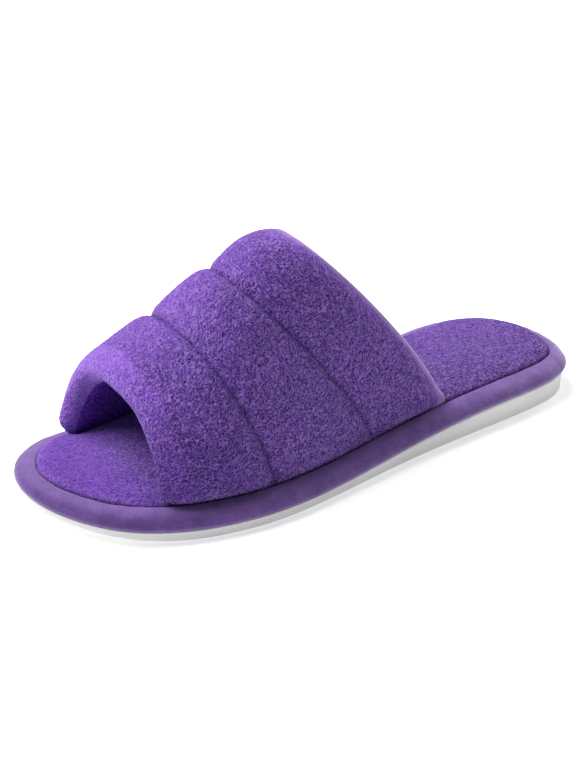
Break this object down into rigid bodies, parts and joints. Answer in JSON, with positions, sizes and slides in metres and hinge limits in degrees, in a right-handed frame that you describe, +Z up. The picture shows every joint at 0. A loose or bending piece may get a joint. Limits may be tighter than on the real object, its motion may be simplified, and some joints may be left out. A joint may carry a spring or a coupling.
{
  "type": "scuff slipper",
  "caption": "Padded slip-on house slipper with an open toe and back, a quilted terry upper, a padded footbed, a rounded velour edge band and a thin foam sole.",
  "frame": {"origin": "on the floor, under the middle of the slipper's outline", "axes": "+Z up, the toe points to -Y and the heel to +Y, +X is the wearer's left and the lateral side of this left slipper"},
  "size_m": [0.1014, 0.265, 0.097],
  "materials": {
    "white_foam": "matte, smooth moulded foam",
    "violet_velour": "short brushed nap",
    "violet_terry_footbed": "terry loops over foam",
    "violet_terry": "quilted terry loops over foam"
  },
  "bodies": {
    "root": {"outsole": "white_foam", "edge_band": "violet_velour", "insole": "violet_terry_footbed", "upper": "violet_terry"}
  },
  "joints": []
}
